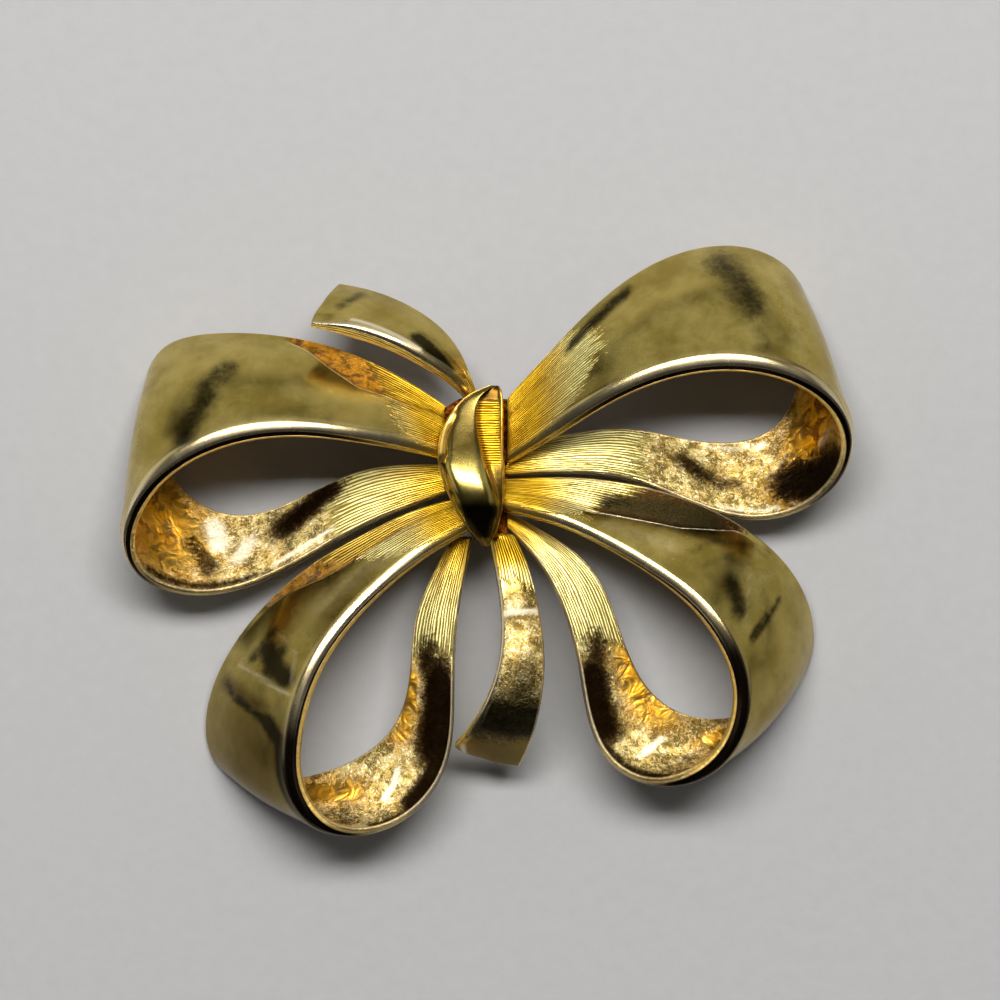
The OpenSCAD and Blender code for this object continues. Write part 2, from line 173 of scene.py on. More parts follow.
UPPER_RIGHT = (
    (0.086, 0.014, 0.58, 0.086, 0.314, 0.48, 0.02),
    (0.189, 0.119, 0.69, 0.186, 0.495, 0.42, 0.03, -0.02),
    (0.314, 0.267, 0.86, 0.306, 0.719, 0.32, 0.04, -0.03),
    (0.444, 0.381, 0.97, 0.436, 0.9, 0.215, 0.06, -0.02),
    (0.592, 0.448, 1.01, 0.575, 1.005, 0.12, 0.08),
    (0.739, 0.448, 0.985, 0.728, 1.03, 0.035, 0.07),
    (0.878, 0.381, 0.89, 0.864, 0.92, 0.005, 0.05),
    (0.986, 0.233, 0.755, 0.906, 0.662, 0.0, 0.03),
    (1.006, 0.01, 0.58, 0.878, 0.381, 0.015, 0.03),
    (0.911, -0.19, 0.42, 0.828, 0.176, 0.06, 0.03),
    (0.756, -0.271, 0.335, 0.703, 0.09, 0.09, 0.03),
    (0.592, -0.195, 0.355, 0.55, 0.124, 0.155, 0.02),
    (0.414, -0.043, 0.395, 0.397, 0.19, 0.245, 0.02),
    (0.239, -0.026, 0.42, 0.247, 0.143, 0.32, 0.02),
    (0.086, -0.043, 0.433, 0.086, 0.09, 0.367, 0.02),
)
LOWER_LEFT = (
    (0.029, 0.179, 0.62, 0.094, 0.094, 0.53, 0.02),
    (0.177, 0.237, 0.68, 0.246, 0.123, 0.51, 0.02, -0.06),
    (0.323, 0.32, 0.78, 0.438, 0.197, 0.5, 0.02, -0.09),
    (0.454, 0.414, 0.895, 0.635, 0.28, 0.45, 0.02, -0.08),
    (0.562, 0.523, 0.97, 0.812, 0.403, 0.32, 0.05, -0.02),
    (0.627, 0.634, 0.99, 0.95, 0.546, 0.15, 0.07),
    (0.662, 0.757, 0.95, 1.019, 0.694, 0.015, 0.06),
    (0.662, 0.88, 0.875, 0.996, 0.826, 0.0, 0.05),
    (0.573, 0.991, 0.78, 0.854, 0.886, 0.05, 0.04),
    (0.423, 1.017, 0.69, 0.654, 0.871, 0.2, 0.04),
    (0.254, 0.977, 0.61, 0.465, 0.823, 0.36, 0.03),
    (0.123, 0.871, 0.58, 0.323, 0.749, 0.43, 0.03),
    (0.079, 0.737, 0.56, 0.254, 0.646, 0.46, 0.02),
    (0.083, 0.58, 0.556, 0.239, 0.523, 0.47, 0.02),
    (0.073, 0.414, 0.54, 0.227, 0.383, 0.46, 0.02),
    (0.017, 0.204, 0.49, 0.092, 0.204, 0.418, 0.02),
)
LOWER_RIGHT = (
    (0.095, 0.145, 0.61, 0.095, 0.043, 0.52, 0.02),
    (0.246, 0.183, 0.665, 0.258, 0.033, 0.516, 0.02, -0.09),
    (0.388, 0.257, 0.78, 0.431, 0.05, 0.55, 0.02, -0.12),
    (0.532, 0.35, 0.897, 0.603, 0.092, 0.557, 0.02, -0.12),
    (0.655, 0.453, 0.973, 0.766, 0.173, 0.488, 0.04, -0.05),
    (0.739, 0.587, 0.994, 0.905, 0.287, 0.31, 0.07),
    (0.782, 0.73, 0.934, 0.994, 0.433, 0.11, 0.07),
    (0.748, 0.9, 0.836, 1.015, 0.597, 0.0, 0.06),
    (0.634, 1.01, 0.743, 0.942, 0.75, 0.04, 0.05),
    (0.489, 1.027, 0.668, 0.785, 0.82, 0.25, 0.04),
    (0.366, 0.937, 0.625, 0.628, 0.817, 0.41, 0.03),
    (0.32, 0.777, 0.588, 0.511, 0.737, 0.45, 0.03),
    (0.305, 0.627, 0.573, 0.443, 0.593, 0.47, 0.02),
    (0.262, 0.457, 0.556, 0.397, 0.42, 0.47, 0.02),
    (0.194, 0.31, 0.52, 0.323, 0.28, 0.45, 0.02),
    (0.095, 0.203, 0.45, 0.095, 0.15, 0.4, 0.02),
)
UPPER_TAIL = (
    (0.07, 0.385, 0.67, -0.013, 0.385, 0.62, 0.02),
    (0.147, 0.47, 0.75, 0.05, 0.535, 0.63, 0.03),
    (0.297, 0.556, 0.863, 0.117, 0.665, 0.584, 0.04),
    (0.48, 0.653, 0.954, 0.24, 0.794, 0.516, 0.04),
    (0.68, 0.724, 1.0, 0.42, 0.9, 0.45, 0.04),
    (0.867, 0.768, 0.975, 0.647, 0.988, 0.387, 0.04),
    (1.047, 0.791, 0.903, 0.873, 1.026, 0.323, 0.03),
)
LOWER_TAIL = (
    (0.2, 0.255, 0.70, 0.6, 0.255, 0.68, 0.03),
    (0.27, 0.343, 0.68, 0.762, 0.329, 0.65, 0.04),
    (0.354, 0.461, 0.78, 0.9, 0.454, 0.75, 0.04),
    (0.385, 0.579, 0.94, 0.992, 0.568, 0.91, 0.04),
    (0.33, 0.693, 1.0, 1.023, 0.689, 0.97, 0.04),
    (0.146, 0.807, 0.96, 0.962, 0.814, 0.93, 0.04),
    (-0.146, 0.918, 0.72, 0.83, 0.939, 0.66, 0.04),
    (-0.31, 0.957, 0.46, 0.66, 1.025, 0.37, 0.03),
)

# Columns of the knot's table: place along its length, left side, right side, crest, fold line (shares
# of its half length and width); heights of crest, fold line, pocket and right rim (shares of its rise).
KNOT_ROWS = (
    (1.0, 0.34, 0.60, 0.46, 0.54, 0.12, 0.10, 0.09, 0.09),
    (0.95, 0.06, 0.68, 0.24, 0.34, 0.20, 0.18, 0.14, 0.17),
    (0.88, -0.24, 0.72, 0.0, 0.15, 0.27, 0.24, 0.16, 0.21),
    (0.76, -0.52, 0.73, -0.2, 0.01, 0.34, 0.31, 0.19, 0.25),
    (0.6, -0.76, 0.73, -0.34, -0.02, 0.44, 0.40, 0.22, 0.29),
    (0.42, -0.95, 0.72, -0.42, 0.02, 0.56, 0.50, 0.26, 0.32),
    (0.2, -1.04, 0.74, -0.42, 0.12, 0.72, 0.62, 0.31, 0.35),
    (0.0, -1.02, 0.77, -0.34, 0.24, 0.87, 0.68, 0.36, 0.36),
    (-0.2, -0.88, 0.79, -0.16, 0.43, 0.98, 0.62, 0.38, 0.30),
    (-0.4, -0.72, 0.77, -0.01, 0.6, 1.0, 0.54, 0.34, 0.24),
    (-0.62, -0.47, 0.68, 0.1, 0.57, 0.86, 0.42, 0.27, 0.20),
    (-0.82, -0.17, 0.55, 0.18, 0.45, 0.56, 0.32, 0.22, 0.18),
    (-0.94, 0.08, 0.41, 0.24, 0.35, 0.34, 0.24, 0.18, 0.16),
    (-1.0, 0.18, 0.34, 0.26, 0.30, 0.2, 0.18, 0.16, 0.16),
)

# What each ribbon shows. Places along it are rows of its table; shares go from front rim to back edge.
# seats: where it starts and where it ends at the hub, as front rim x, y and back edge x, y (shares of the
# root distances) and heights of front rim and back edge (shares of the seat's top).
# tucks: how far the roots go on under the knot, in mm. rims: half the thickness at the start and the end.
# tip: how much thinner the free end is. lip: share of the flat edge that is gilt, painted as a bright lip.
# folds: row, share where the polished face ends in a ridge, and depth of the facet behind it. facet_tone:
# how amber and how brown the facet is; its amber is a painted reflection of one ribbon in the next.
# warm_root,
# gold_edge: rows over which the amber root ends and the flat edge turns gold. edge_shade, roll_shade: rows
# between which the flat edge and the roll are painted dark, as painted shade. outer_lines, inner_lines:
# rows where the engraved lines end at the rim, the middle and the back edge. counts: lines across the outer
# and the inner face. Under a kind and a face stand the strokes of that kind, each from row and share to row
# and share, then its half width and its strength. The light strokes are painted highlights, the dark
# strokes painted dark reflections on the outer faces and painted shade inside the loops, and the warm
# strokes inside the loops painted amber reflections of one ribbon in another.
OUTER, INNER = 1, 0
# ROW_RUN: run of a row against a band's width, where a stroke's ends are rounded. LINES_ON_FLAT: lines to a
# mm of a gilt edge. OUTER_FADE, INNER_FADE: rows before and after the place where the lines end.
ROW_RUN = 0.55
LINES_ON_FLAT = 4.5
OUTER_FADE, INNER_FADE = (-0.70, 0.55), (-0.55, 0.70)
INNER_ROOT = 1.2
NEVER = (20.0, 22.0)
LOOP = {
    "rims": ("rim_radius", "fine_rim"), "tip": 0.0, "gold_edge": NEVER,
    "roll_turn": 40, "lip": 0.1, "crease": 1.0, "facet_tone": (0.0, 0.0),
    "folds": ((0, 0.75, 0), (20, 0.75, 0)),
}
TAIL = {**LOOP, "edge_shade": NEVER, "roll_shade": NEVER, "inner_lines": (9, 9, 9)}
RIBBONS = {
    "upper_left_loop": {
        **LOOP, "rows": UPPER_LEFT, "size": "upper_left", "side": 1,
        "seats": ((1, 0.1, 1, 0.82, 1, 0.84), (1, -0.38, 1, 0.02, 0.76, 0.64)), "tucks": (0.5, 0.5),
        "warm_root": (0.7, 1.9), "counts": (32, 17), "crease": 0.35, "facet_tone": (0.95, 0.35),
        "edge_shade": (1.0, 9.0), "roll_shade": (7.2, 9.8), "outer_lines": (0.9, 1.2, 1.7),
        "inner_lines": (11.4, 11.3, 11.2),
        "folds": ((0, 0.7, 0.3), (1, 0.6, 0.8), (1.8, 0.58, 1), (2.3, 0.72, 1), (2.65, 0.88, 0.7),
                  (3, 0.93, 0)),
        ("dark", OUTER): ((4.95, 0.12, 4.45, 0.34, 0.15, 0.75), (4.45, 0.42, 4, 0.55, 0.13, 0.65)),
        ("light", OUTER): ((5.9, 0.85, 6.3, 0.25, 0.22, 0.3),),
        ("dark", INNER): (
            (11.15, 0.85, 10.6, 0.65, 0.22, 0.85), (8.8, 0.55, 9.2, 0.3, 0.13, 0.5),
            (10, 0.09, 8, 0.07, 0.06, 0.55)),
        ("light", INNER): (
            (11.4, 0.2, 10.4, 0.14, 0.05, 1), (9.15, 0.8, 9.3, 0.6, 0.14, 1),
            (9.85, 0.6, 9.7, 0.4, 0.12, 0.9)),
        ("warm", INNER): ((7, 0.5, 8.2, 0.55, 0.5, 1),),
    },
    "upper_right_loop": {
        **LOOP, "rows": UPPER_RIGHT, "size": "upper_right", "side": -1,
        "seats": ((1, 0.04, 1, 0.925, 1, 0.84), (1, -0.13, 1, 0.265, 0.76, 0.64)), "tucks": (0.14, 0.6),
        "warm_root": (0.7, 2.0), "counts": (36, 18), "edge_shade": (1.2, 9.5), "roll_shade": (7.6, 9.8),
        "outer_lines": (1.1, 2.2, 1.4), "inner_lines": (11.8, 11.7, 11.6),
        ("dark", OUTER): (
            (1.6, 0.8, 2.75, 0.86, 0.1, 0.78), (4.5, 0.78, 4.95, 0.45, 0.24, 0.66),
            (5.05, 0.34, 5.15, 0.14, 0.16, 0.45), (3.4, 0.25, 4.2, 0.2, 0.2, 0.25)),
        ("light", OUTER): ((5.4, 0.85, 5.85, 0.2, 0.12, 0.4),),
        ("dark", INNER): (
            (11, 0.6, 10.75, 0.48, 0.16, 0.62), (10.55, 0.4, 10.2, 0.44, 0.1, 0.45),
            (9.2, 0.3, 8.3, 0.05, 0.25, 1)),
        ("warm", INNER): ((9.4, 0.25, 8.9, 0.45, 0.2, 0.7), (7.2, 0.65, 8.4, 0.55, 0.4, 1.2)),
        ("light", INNER): (
            (10.6, 0.92, 9.4, 0.88, 0.06, 0.6), (10.6, 0.08, 9.6, 0.1, 0.05, 0.7),
            (8.3, 0.4, 7.9, 0.34, 0.08, 0.55)),
    },
    "lower_left_loop": {
        **LOOP, "rows": LOWER_LEFT, "size": "lower_left", "side": 1,
        "seats": ((0.24, 0.877, 0.79, 0.463, 1, 0.85), (0.145, 1, 0.775, 1, 0.77, 0.67)),
        "tucks": (0.4, 0.4), "warm_root": (0.5, 1.6), "counts": (24, 15), "roll_turn": 33, "lip": 0.5,
        "crease": 0.35, "facet_tone": (0.75, 0.4), "edge_shade": (1.0, 9.6), "roll_shade": (5.0, 9.8),
        "outer_lines": (0.9, 2.0, 2.9), "inner_lines": (13.3, 13.2, 13.1),
        "folds": ((0, 0.7, 0.3), (1.3, 0.66, 0.6), (2, 0.64, 1), (2.45, 0.64, 1), (2.9, 0.7, 1),
                  (3.5, 0.88, 0.8), (3.9, 0.93, 0)),
        ("dark", OUTER): (
            (4.1, 0.62, 4.7, 0.64, 0.08, 0.66), (4.42, 0.54, 4.75, 0.22, 0.13, 0.95),
            (4.3, 0.4, 4.75, 0.4, 0.1, 0.75), (5.25, 0.8, 5.5, 0.62, 0.045, 0.7),
            (5.45, 0.6, 5.65, 0.3, 0.06, 0.85), (5.65, 0.26, 6.1, 0.06, 0.09, 1),
            (6.1, 0.08, 8, 0.05, 0.08, 1.1)),
        ("brown", OUTER): (
            (4.15, 0.55, 4.75, 0.3, 0.2, 0.55), (5.28, 0.82, 5.45, 0.3, 0.13, 0.8),
            (6.3, 0.3, 7.6, 0.6, 0.75, 0.78)),
        ("light", OUTER): (
            (4.05, 0.62, 4.2, 0.24, 0.045, 0.46), (4.2, 0.24, 4.8, 0.12, 0.045, 0.5),
            (4.88, 0.76, 4.93, 0.46, 0.05, 0.56), (4.93, 0.46, 5.02, 0.1, 0.055, 0.58),
            (1.7, 0.34, 3.2, 0.4, 0.3, 0.45)),
        ("dark", INNER): (
            (13.05, 0.6, 12.7, 0.4, 0.3, 0.62), (12.6, 0.3, 11.7, 0.26, 0.34, 1.25),
            (11.6, 0.14, 10.4, 0.06, 0.17, 1.1), (10.4, 0.05, 9.2, 0.04, 0.05, 0.6)),
        ("warm", INNER): ((12.5, 0.93, 11.3, 0.82, 0.17, 0.85), (8.7, 0.75, 9.5, 0.65, 0.24, 0.8)),
        ("light", INNER): (
            (10.65, 0.55, 10.3, 0.42, 0.05, 1), (10.3, 0.42, 9.95, 0.34, 0.05, 1),
            (7.4, 0.05, 9.2, 0.06, 0.05, 0.8)),
    },
    "lower_right_loop": {
        **LOOP, "rows": LOWER_RIGHT, "size": "lower_right", "side": -1,
        "seats": ((1, 0.61, 1, 0.18, 0.975, 0.83), (1, 0.855, 1, 0.63, 0.72, 0.64)), "tucks": (0.7, 0.7),
        "warm_root": (0.5, 1.5), "counts": (26, 17), "roll_turn": 33, "lip": 0.42, "crease": 0.75,
        "facet_tone": (0.2, 1.0), "edge_shade": (1.6, 9.2), "roll_shade": (4.2, 9.8),
        "outer_lines": (0.8, 1.7, 2.5), "inner_lines": (12.3, 12.2, 12.1),
        "folds": ((0, 0.45, 0.3), (1.35, 0.42, 0.8), (1.75, 0.44, 1), (2.45, 0.54, 1), (3.15, 0.64, 1),
                  (3.8, 0.82, 0.8), (4.1, 0.92, 0.5), (4.3, 0.93, 0)),
        ("dark", OUTER): (
            (3.5, 0.44, 3.75, 0.68, 0.06, 0.42), (3.75, 0.68, 4.4, 0.86, 0.07, 0.5),
            (4.4, 0.86, 4.8, 0.9, 0.06, 0.4), (3.75, 0.36, 4.05, 0.58, 0.055, 0.4),
            (4.05, 0.58, 4.25, 0.72, 0.06, 0.42), (4.35, 0.4, 4.7, 0.28, 0.13, 0.78),
            (5.3, 0.66, 5.28, 0.44, 0.055, 0.66), (5.28, 0.44, 5.24, 0.24, 0.075, 0.78),
            (1.9, 0.66, 3.6, 0.86, 0.22, 0.8)),
        ("brown", OUTER): ((4.2, 0.4, 4.7, 0.3, 0.2, 0.4), (6.2, 0.3, 7.2, 0.6, 0.7, 0.3)),
        ("light", OUTER): (
            (4.55, 0.64, 4.72, 0.42, 0.045, 0.5), (4.72, 0.42, 4.98, 0.24, 0.045, 0.46),
            (4.8, 0.64, 5, 0.76, 0.09, 0.4), (1.9, 0.28, 3.1, 0.4, 0.2, 0.45)),
        ("dark", INNER): (
            (12.1, 0.42, 11.7, 0.32, 0.28, 0.6), (11.6, 0.22, 10.6, 0.12, 0.26, 1),
            (10.6, 0.06, 8.6, 0.05, 0.05, 0.7)),
        ("warm", INNER): ((11.7, 0.86, 10.4, 0.8, 0.26, 0.85), (8.9, 0.7, 8.3, 0.5, 0.16, 0.8)),
        ("light", INNER): ((9.75, 0.55, 9.6, 0.25, 0.06, 1),),
    },
    "upper_tail": {
        **TAIL, "rows": UPPER_TAIL, "size": "upper_tail", "side": 1,
        "seats": ((0.34, 0.917, -0.065, 0.917, 0.905, 0.84),), "tucks": (0.5,), "warm_root": (0.6, 1.6),
        "counts": (9, 9), "roll_turn": 26, "rims": ("rim_radius", "rim_radius"), "tip": 0.6,
        "gold_edge": (-2.0, -1.0), "outer_lines": (0.6, 0.9, 1.2),
        ("dark", OUTER): ((2.9, 0.35, 1.6, 0.22, 0.18, 1), (5.2, 0.75, 5.4, 0.4, 0.15, 0.6)),
        ("light", OUTER): ((4.8, 0.13, 2.6, 0.13, 0.05, 1),),
        ("warm", OUTER): ((0, 0.5, 0.9, 0.5, 0.5, 0.8),),
    },
    "lower_tail": {
        **TAIL, "rows": LOWER_TAIL, "size": "lower_tail", "side": -1,
        "seats": ((0.42, 1, 1.26, 1, 0.93, 0.905),), "tucks": (0.7,), "warm_root": (0.6, 1.8),
        "counts": (12, 12), "roll_turn": 30, "rims": ("fine_rim", "fine_rim"), "gold_edge": (3.6, 5.0),
        "outer_lines": (1.7, 1.6, 1.8),
        ("light", OUTER): ((2.45, 0.02, 2.42, 0.92, 0.075, 0.8), (6.6, 0.04, 7, 0.14, 0.08, 0.8)),
        ("speckle", OUTER): ((2.9, 0.5, 4.9, 0.5, 0.8, 0.9),),
        ("dark", OUTER): ((4, 0.6, 4.8, 0.5, 0.4, 0.5), (5.25, 0, 5.45, 1, 0.3, 1.1)),
        ("brown", OUTER): ((2, 0.5, 4.6, 0.5, 0.8, 0.38), (6.2, 0.2, 6.8, 0.8, 0.8, 0.8)),
        ("warm", OUTER): ((6.4, 0.02, 7, 0.12, 0.14, 1), (0, 0.5, 0.8, 0.5, 0.4, 0.5)),
    },
}


def smooth(low, high, value):
    """0 below low, 1 above high and a soft step between them."""
    t = min(max((value - low) / (high - low), 0.0), 1.0)
    return t * t * (3 - 2 * t)


def hill(foot, top, brow, end, value):
    """0 below foot, rising to 1 at top, and falling from brow to 0 at end."""
    return smooth(foot, top, value) * (1 - smooth(brow, end, value))


def added(name, data):
    """A new object in the scene."""
    made = bpy.data.objects.new(name, data)
    bpy.context.scene.collection.objects.link(made)
    return made


def between(rows, place):
    """Straight run through a short table whose first column is the place."""
    for low, high in zip(rows, rows[1:]):
        if place <= high[0]:
            t = (place - low[0]) / (high[0] - low[0])
            return [a + (b - a) * t for a, b in zip(low[1:], high[1:])]
    return list(rows[-1][1:])


def blended(rows, weights):
    """Sum of rows, each times its weight."""
    return [sum(w * r[k] for w, r in zip(weights, rows)) for k in range(len(rows[0]))]


def row_at(rows, i, t):
    """Smooth curve through a table, from row i to i + 1 at share t."""
    first = rows[i - 1] if i > 0 else blended((rows[0], rows[1]), (2, -1))
    last = rows[i + 2] if i + 2 < len(rows) else blended((rows[i + 1], rows[i]), (2, -1))
    weights = ((1 - t) ** 3, 3 * t ** 3 - 6 * t * t + 4, 3 * t + 3 * t * t - 3 * t ** 3 + 1, t ** 3)
    return blended((first, rows[i], rows[i + 1], last), [w / 6 for w in weights])


def stations(rows, steps):
    """The rows' places and the rows of a smooth curve through a table, with steps sections to a row."""
    places = [i / steps for i in range((len(rows) - 1) * steps)]
    found = [(place, row_at(rows, int(place), place - int(place))) for place in places]
    return found + [(len(rows) - 1, list(rows[-1]))]


SEAT_ROWS = 4


def seated(seat, brooch, sign):
    """A seat's front rim and back edge, in metres."""
    across, along = brooch.root_x * sign[0], brooch.root_down * sign[1]
    return [seat[0] * across, seat[1] * along, seat[4] * brooch.seat_top,
            seat[2] * across, seat[3] * along, seat[5] * brooch.seat_top]


def placed(ribbon, brooch):
    """The ribbon's rows in metres, with its roots drawn to their seats over a few rows."""
    size = getattr(brooch, ribbon["size"])
    sign = [math.copysign(1, size[0]), math.copysign(1, size[1])]
    scale = (*size, *size, 1, 1)
    rows = [[share * s for share, s in zip((*row, 0), scale)] for row in ribbon["rows"]]
    last = len(rows) - 1
    for seat, end in zip(ribbon["seats"], (0, last)):
        shift = [a - b for a, b in zip(seated(seat, brooch, sign), rows[end])]
        for i, row in enumerate(rows):
            fade = max(0.0, 1 - abs(i - end) / SEAT_ROWS) ** 2
            for k, s in enumerate(shift):
                row[k] += fade * s
    return rows


def arc(centre, radius, start, end, count):
    """Points on a round corner, as distance from the rim and height; angles are in degrees."""
    angles = [math.radians(start + (end - start) * i / (count - 1)) for i in range(count)]
    return [(centre[0] + radius * math.cos(a), centre[1] + radius * math.sin(a)) for a in angles]


BACK_ROUND = 0.7
BEAD_FALL = 1.4


def section(width, bulge, crease, fold, depth, rim, turned, gilt, brooch):
    """Cut across a ribbon whose rim has that radius, whose roll turns by that angle and whose flat edge
    is gilt over that share: distance from the front rim, height over its middle face, face, and tags for
    how far the point lies on the roll, in the flat edge's painted shade, on the line where the polished
    face ends and on a bright lip; the last two are painted highlights."""
    half, edge = brooch.ribbon_thickness / 2, brooch.edge_thickness / 2
    finer = rim / brooch.rim_radius
    back_round = edge * BACK_ROUND
    line = brooch.crest_width

    def middle(share):
        ridge = (share / fold) ** 2 if share < fold else (1 - share) / (1 - fold)
        return width * (4 * bulge * share * (1 - share) + crease * ridge)

    def thick(x):
        bead = max(0.0, 1 - max(0.0, x - outer_end) / (brooch.bead_run * finer)) ** BEAD_FALL
        return half + (edge - half) * smooth(0.55, 1.0, x / width) + (rim - half) * bead

    def facet(x):
        past = max(0.0, x - fold * width - line * 0.5)
        fall = 1 - (past / (width - fold * width)) ** 2
        return brooch.facet_step * depth * min(1.0, past / line) * fall

    def run(start, end, shares, face, tags=(0, 0, 0, 0)):
        places = [start + (end - start) * share for share in shares]
        side = 1 if face else -1
        return [(x, middle(x / width) + side * thick(x) - face * facet(x), face, tags) for x in places]

    def bend(centre, radius, start, end, count, face, tags):
        return [(x, y + tip, face, tags) for x, y in arc(centre, radius, start, end, count)]

    turn = math.radians(turned)
    corner, roll = brooch.corner_round * finer, brooch.roll_round * finer
    join = corner * (1 - math.sin(turn))
    outer_end, inner_end = join + roll * math.sin(turn), brooch.inner_round * finer
    flat_top = rim - roll * (1 - math.cos(turn)) - corner * math.cos(turn)
    flat_foot = inner_end - rim
    back, ridge = width - back_round, fold * width
    tip = middle(back / width)
    cornered = arc((corner, flat_top), corner, 180, 90 + turned, 5)
    rolled = arc((outer_end, rim - roll), roll, 90 + turned, 90, 6)[1:]
    points = [(x, y + middle(x / width), OUTER, (1, 0, 0, 0)) for x, y in cornered]
    points += [(x, y + middle(x / width), OUTER, (1 - x / outer_end * 0.9, 0, 0, 0)) for x, y in rolled]
    points += run(outer_end, ridge - line, [k / 22 for k in range(1, 23)], OUTER)
    points += run(ridge, ridge + line, (0,), OUTER, (0, 0, 1, 0))
    points += run(ridge + line, back, (0, 0.1, 0.25, 0.4, 0.55, 0.7, 0.85, 1.0), OUTER)
    points += bend((back, edge - back_round), back_round, 70, 0, 3, OUTER, (0, 0, 0, 0.5))
    points += bend((back, back_round - edge), back_round, 0, -70, 3, INNER, (0, 0, 0, 0.6))
    points += run(back, inner_end, [k / 18 for k in range(18)] + [0.985], INNER)
    lip = 2.2 * finer - 1.2  # bright on a full rim, faint on a fine one
    inner_corner = arc((inner_end, flat_foot), inner_end, 270, 180, 5)
    points += [(x, y, INNER, (0.3, 0, 0, lip)) for x, y in inner_corner]
    # Beyond its gilt share the flat edge is tagged for painted shade, within it for a painted bright lip.
    for share in (0.06, 0.2, 0.34, 0.48, 0.62, 0.88):
        dark = smooth(gilt - 0.06, gilt + 0.1, share)
        y = flat_foot + (flat_top - flat_foot) * share
        points.append((0.0, y, INNER, (0, dark, 0, lip * (1 - dark))))
    return points


def spell(ends, place):
    """1 between two rows of a ribbon, fading to 0 over a row at each end."""
    start, end = ends
    return hill(start, start + 1, end - 1, end, place)


def painted(ribbon, kind, face, place, share):
    """Strength of one kind of stroke at a place on a ribbon."""
    found = 0.0
    for row, start, row_end, end, half, strength in ribbon.get((kind, face), ()):
        run = Vector(((row_end - row) * ROW_RUN, end - start))
        offset = Vector(((place - row) * ROW_RUN, share - start))
        t = min(max(offset.dot(run) / max(run.length_squared, 1e-9), 0.0), 1.0)
        away = (offset - run * t).length / half
        found = max(found, strength * math.exp(-away * away))
    return found


FACE_MARK = 3.0


def masks(ribbon, face, place, share, height, travelled, tags):
    """What the materials read at a point: finish (lines, grain, warmth, which partly holds painted amber
    reflection), patches (dark strokes of painted dark reflection and painted shade, light strokes of
    painted highlight, brown), edges (roll, painted shade, painted highlight on the crest and lip) and band
    (distance along, line across, face)."""

    def stroke(kind):
        return painted(ribbon, kind, face, place, share)

    last = len(ribbon["rows"]) - 1
    if face:
        (rim, middle, back), (low, high) = ribbon["outer_lines"], OUTER_FADE
        root = 1 - smooth(*ribbon["warm_root"], place)
    else:
        (rim, middle, back), (low, high) = ribbon["inner_lines"], INNER_FADE
        root = smooth(last - INNER_ROOT, last, place)
    end = (rim * (1 - share) * (1 - 2 * share) + 4 * middle * share * (1 - share)
           + back * share * (2 * share - 1))
    lines = smooth(end + low, end + high, place)
    fold, depth = between(ribbon["folds"], place)
    ridge = smooth(0.0, 0.3, depth)
    facet = 0.0
    if face:
        lines = 1 - lines
        facet = ridge * smooth(fold - 0.005, fold + 0.01, share)
    amber, brown = ribbon["facet_tone"]
    warm = max(stroke("warm"), amber * facet, root * lines)
    grain = max(stroke("speckle"), facet, 0.0 if face else 1 - stroke("warm"))
    roll, flat, crest, lip = tags
    gold = flat * smooth(*ribbon["gold_edge"], place)
    bare = 1 - max(roll, flat - gold)
    engraved = max(lines * (1 - flat), gold) * bare
    edge_shade = flat * spell(ribbon["edge_shade"], place)
    roll_shade = min(1.0, roll * 1.9) * spell(ribbon["roll_shade"], place) * 0.97
    across = share * ribbon["counts"][1 - face] + flat * height / MM * LINES_ON_FLAT
    return {
        "finish": (engraved, grain * (1 - lines) * bare, max(warm, lip * 0.7, gold * 0.5)),
        "patches": (stroke("dark"), stroke("light"), max(brown * facet, stroke("brown"))),
        "edges": (roll, max(edge_shade, roll_shade), max(crest * ridge, lip)),
        "band": (travelled / MM, across, FACE_MARK * face),
    }


def swept(name, rings):
    """Closed piece swept through sections of (point, masks): a grid, sewn along its seam and capped."""
    around, along = len(rings[0]), len(rings) - 1
    bm = bmesh.new()
    layers = {key: bm.verts.layers.float_vector.new(key) for key in rings[0][0][1]}
    bmesh.ops.create_grid(bm, x_segments=around, y_segments=along, size=1)
    for vertex in bm.verts:
        j = round((vertex.co.x + 1) / 2 * around) % around
        i = round((vertex.co.y + 1) / 2 * along)
        point, mask = rings[i][j]
        vertex.co = point
        for key, layer in layers.items():
            vertex[layer] = mask[key]
    bmesh.ops.remove_doubles(bm, verts=bm.verts, dist=SAME_PLACE)
    bmesh.ops.edgeloop_fill(bm, edges=[edge for edge in bm.edges if edge.is_boundary])
    bmesh.ops.recalc_face_normals(bm, faces=bm.faces)
    for face in bm.faces:
        face.smooth = True
    mesh = bpy.data.meshes.new(name)
    bm.to_mesh(mesh)
    bm.free()
    if not mesh.polygons:
        raise RuntimeError(f"{name} came out empty")
    piece = added(name, mesh)
    round_off = piece.modifiers.new("Smooth", "SUBSURF")
    round_off.levels = 1
    round_off.render_levels = 1
    return piece


def centre_of(ring):
    """Middle of a section's points."""
    return sum((point for point, _ in ring), Vector()) / len(ring)


def rounded_end(ring, ahead, inset):
    """A free end's last two sections, drawn in towards the middle of the ring."""
    centre = centre_of(ring)
    return [[(point + ahead * on + (centre - point).normalized() * inset * drawn, mask)
             for point, mask in ring] for on, drawn in ((0.6, 0.35), (1.0, 1.0))]


def reached_in(root, following, tuck):
    """A root's section moved on by tuck, level, away from the one that follows it."""
    way = centre_of(root) - centre_of(following)
    way.z = 0.0
    return [(point + way.normalized() * tuck, mask) for point, mask in root]


TIP_ROWS = 1.6
END_LENGTH = 0.2
END_ROUND = 0.22


